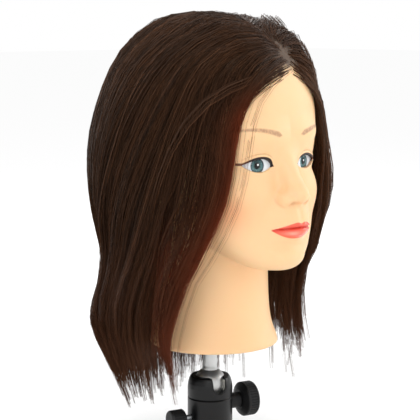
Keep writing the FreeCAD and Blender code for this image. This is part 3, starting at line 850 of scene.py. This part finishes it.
def grow_locks(rng):
    """The middle line of each lock, the angle round the head of its root, and whether it is loose."""
    roots, above = scalp_roots(rng, GUIDES)
    count = len(roots)
    front = smooth_step(-roots[:, 1], 15, 65)
    layer = 0.2 + 0.45 * front + (0.75 - 0.4 * front) * smooth_step(above, 0, 120)
    layer = np.clip(layer + rng.normal(0, 0.1, count), 0.08, 0.97)
    slack = rng.exponential(4.5, count)
    loose = rng.uniform(0, 1, count) < LOOSE_SHARE
    slack = np.where(loose, -rng.uniform(1, 11, count), slack)
    layer = np.where(loose, LOOSE_LAYER, layer)
    wander = rng.uniform(0.0, 0.10, count)
    path = grow(roots, layer, slack, wander, rng)
    return cut_and_space(path, cut_heights(path, layer, rng)), turn_round(roots), loose


def split_locks(lines, loose, rng):
    """Single hairs round each lock's line, which gather towards its end, with their shade and radius."""
    count = len(lines)
    normal = unit(gradient(scalp_field, lines.reshape(-1, 3))).reshape(lines.shape)
    ahead = unit(np.gradient(lines, axis=1))
    across = unit(np.cross(ahead, normal))
    along = np.linspace(0, 1, STRAND_POINTS)
    half_way = lines[:, STRAND_POINTS // 2, 0]
    # Each lock's tone is random, and hair whose middle lies on the head's left side, beyond x 40 mm, is
    # painted lighter as painted light falling on that side.
    lock_tone_and_painted_light = rng.beta(1.6, 3.6, count) + 0.25 * smooth_step(half_way, 40, 70)
    hairs, shade, radius = [], [], []
    for _ in range(CHILDREN):
        r = np.where(loose, LOOSE_R, LOCK_R) * np.sqrt(rng.uniform(0, 1, count))
        a = rng.uniform(0, 2 * math.pi, count)
        gather = rng.uniform(0.25, 0.9, count)
        spread = 1 - (1 - gather)[:, None] * along[None] ** 1.5
        u, v = r * np.cos(a), np.where(loose, 0.15, 0.55) * r * np.sin(a)
        wave = 0.6 * np.sin(along[None] * rng.uniform(3, 9, count)[:, None] + a[:, None])
        aside = (u[:, None] * spread + wave)[..., None]
        outward = (v[:, None] * spread)[..., None]
        hairs.append(lines + across * aside + normal * outward)
        bright = rng.uniform(0, 1, count) < BRIGHT_SHARE
        shade.append(np.clip(0.4 * lock_tone_and_painted_light + 0.35 * rng.beta(1.2, 4.5, count) + 0.5 * bright, 0, 1))
        fineness = np.where(loose, 0.5, 1.0) * np.where(bright, 0.7, 1.0)
        radius.append(rng.uniform(0.17, 0.25, count) * fineness)
    return np.concatenate(hairs), np.concatenate(shade), np.concatenate(radius)


def settle(hairs):
    """Hairs pushed out of the scalp, with their roots just under it."""
    points = hairs.reshape(-1, 3)
    deep = np.maximum(0.5 - scalp_field(points), 0)
    buried = deep > 0
    points[buried] += unit(gradient(scalp_field, points[buried])) * deep[buried][:, None]
    points[::STRAND_POINTS] -= unit(gradient(scalp_field, points[::STRAND_POINTS]))
    return points.reshape(hairs.shape)


def make_hair():
    rng = np.random.default_rng(SEED)
    lines, turn, loose = grow_locks(rng)
    hairs, shade, radius = split_locks(lines, loose, rng)
    hairs = settle(hairs)
    radius = radius * 1.0
    edge_glow = painted_edge_glow(hairs)
    order = np.argsort(np.tile(turn, len(hairs) // len(lines)), kind="stable")
    material = hair_material()
    for part, (word, nodes) in zip(np.array_split(order, len(HAIR_PARTS)), HAIR_PARTS.items()):
        obj = tubes("strands_" + word, hairs[part], radius[part], shade[part], edge_glow[part])
        obj.data.materials.append(material)
        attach(obj, HEAD)
        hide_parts(*nodes)


# ---------------------------------------------------------------- the holder and the hidden parts
def coated(name, colour, roughness, grain, depth):
    n = Nodes(name, Roughness=roughness, Specular_IOR_Level=0.35)
    speckle = n.noise(grain, 3)
    n.bump(speckle, depth, 0.6)
    shade = n.ramp(n.noise(0.05, 2), 0.35, 0.65)
    dull = tuple(0.82 * c for c in colour[:3]) + (1.0,)
    rough = n.ramp(speckle, 0.3, 0.7, roughness - 0.05, roughness + 0.08)
    return n.set(Base_Color=n.mix(shade, dull, colour), Roughness=rough)


def metal(name, colour, roughness, lines=(1, 1, 8)):
    n = Nodes(name, Roughness=roughness, Metallic=1.0)
    turned_lines = n.noise(1.5, 3, lines)
    n.bump(turned_lines, 0.02, 0.35)
    wear = n.ramp(n.noise(0.06, 3), 0.35, 0.7)
    dull = tuple(0.86 * c for c in colour[:3]) + (1.0,)
    rough = n.ramp(wear, 0, 1, roughness + 0.08, roughness)
    return n.set(Base_Color=n.mix(wear, dull, colour), Roughness=rough)


def dress_nodes():
    finishes = {
        coated("powder_coat", srgb(3, 3, 4), 0.34, 2.2, 0.05): (
            "pan_base", "holder_housing", "retaining_collar", "platform"),
        coated("knob_rubber", srgb(12, 12, 13), 0.5, 1.4, 0.05): (
            "lock_bushing", "ball_lock_knob", "ball_lock_cap", "pan_lock_knob"),
        metal("satin_metal", srgb(206, 207, 206), 0.4): ("ball", "stem", "post_core"),
        metal("steel", srgb(178, 180, 184), 0.34): (
            "pan_retaining_ring", "ball_lock_screw", "pan_lock_screw", "mounting_stud"),
        metal("brass", srgb(196, 160, 84), 0.32): ("lock_wedge",),
        coated("nylon", srgb(232, 230, 222), 0.45, 0.8, 0.03): (
            "pan_washer", "upper_seat_ring", "lower_ball_cup", "pan_lock_tip"),
        coated("rubber", srgb(34, 34, 35), 0.75, 1.2, 0.08): ("platform_pad", "post_sleeve"),
        coated("white_plastic", srgb(228, 228, 224), 0.4, 0.5, 0.03): ("neck_plate", "socket_tube"),
    }
    for material, nodes in finishes.items():
        for name in nodes:
            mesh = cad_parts[name].data
            mesh.materials.clear()
            mesh.materials.append(material)


# ---------------------------------------------------------------- stage, light and camera
def aim(obj, place, target):
    obj.location = place
    obj.rotation_euler = (Vector(target) - Vector(place)).to_track_quat("-Z", "Y").to_euler()


def area_light(name, place, target, size, power, colour=(1, 1, 1)):
    data = bpy.data.lights.new(name, "AREA")
    data.size, data.energy, data.color = size, power, colour
    light = bpy.data.objects.new(name, data)
    bpy.context.scene.collection.objects.link(light)
    aim(light, place, target)


def make_stage():
    half = 12000.0
    floor = mesh_object("floor", [(-half, -half, 0), (half, -half, 0), (half, half, 0), (-half, half, 0)],
                        [(0, 1, 2, 3)], smooth=False)
    n = Nodes("floor", Roughness=1.0, Specular_IOR_Level=0.0)
    floor.data.materials.append(n.set(Base_Color=(0.97, 0.97, 0.97, 1)))
    world = bpy.data.worlds.new("studio")
    bpy.context.scene.world = world
    world.use_nodes = True
    back = world.node_tree.nodes["Background"]
    back.inputs["Color"].default_value = (1, 1, 1, 1)
    back.inputs["Strength"].default_value = 1.0


def make_camera():
    turn, tilt, away = math.radians(-43), math.radians(8), 1.2
    target = Vector((0, 0, 0.2135))
    back = Vector((math.sin(turn) * math.cos(tilt), -math.cos(turn) * math.cos(tilt), math.sin(tilt)))
    data = bpy.data.cameras.new("camera")
    data.lens, data.sensor_width = 117.3, 36.0
    camera = bpy.data.objects.new("camera", data)
    bpy.context.scene.collection.objects.link(camera)
    aim(camera, target + back * away, target)
    bpy.context.scene.camera = camera


make_skin()
make_foam(coated("foam", srgb(224, 210, 168), 0.9, 0.6, 0.3))
make_eyes()
make_hair()
dress_nodes()
make_stage()
area_light("key", (-1.2, -0.9, 1.2), (0, 0, 0.22), 1.0, 7)
area_light("fill", (1.5, -0.7, 0.8), (0, 0, 0.25), 1.0, 9)
area_light("rim", (0.9, 1.1, 1.2), (0, 0, 0.25), 0.8, 7)
make_camera()
bpy.context.scene.view_settings.view_transform = "Standard"
